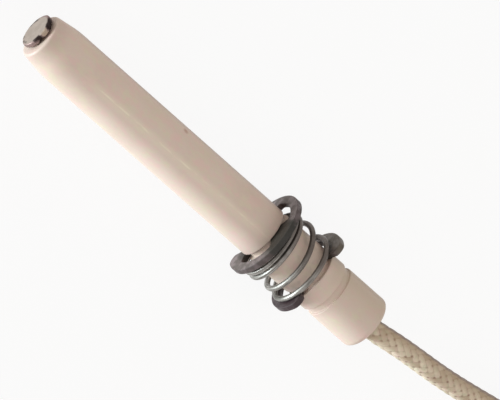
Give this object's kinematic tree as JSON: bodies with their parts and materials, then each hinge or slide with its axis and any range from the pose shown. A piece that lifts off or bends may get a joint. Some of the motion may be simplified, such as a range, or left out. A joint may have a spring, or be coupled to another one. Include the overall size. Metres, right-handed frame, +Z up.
{
  "type": "ignition electrode",
  "caption": "Ceramic ignition electrode with a spark disc at its tip, E-clips and a spring that clamp it in a bracket, and a braided high-voltage lead with a sleeved push-on terminal.",
  "frame": {"origin": "on the surface that the electrode lies on, under the middle of its length from spark disc to the ceramic's rear face", "axes": "+X along the electrode's axis from the lead to the spark disc, +Z up from the surface, +Y to the left of someone who looks from the lead to the disc"},
  "size_m": [0.206, 0.0249, 0.0136],
  "materials": {
    "ceramic": "satin",
    "heat_resisting_steel": "satin",
    "clip_steel": "satin",
    "zinc_plated_wire": "satin",
    "glass_braid": "matte",
    "silicone": "satin",
    "tinned_copper": "satin",
    "tinned_brass": "satin",
    "cement": "matte",
    "nylon": "satin",
    "sleeve_silicone": "satin"
  },
  "bodies": {
    "insulator": {"ceramic_insulator": "ceramic", "spark_disc": "heat_resisting_steel", "electrode_rod": "heat_resisting_steel", "front_clip": "clip_steel", "rear_clip": "clip_steel", "braid_end": "glass_braid", "core_end": "silicone", "conductor_end": "tinned_copper", "crimp_ferrule": "tinned_brass", "socket_cement": "cement", "cable_run": "glass_braid", "cable_hank": "glass_braid", "hank_tie": "nylon", "cable_tail": "glass_braid", "terminal": "tinned_brass", "far_core_end": "silicone", "far_conductor_end": "tinned_copper", "terminal_sleeve": "sleeve_silicone"},
    "spring": {"mounting_spring": "zinc_plated_wire"}
  },
  "joints": [
    {"name": "spring_compression", "type": "slide", "parent": "insulator", "child": "spring", "axis": [-1, 0, 0], "range_m": [0, 0.0025], "stiffness_N_per_m": 1780, "springref_m": -0.001, "deforming": ["mounting_spring"]}
  ]
}
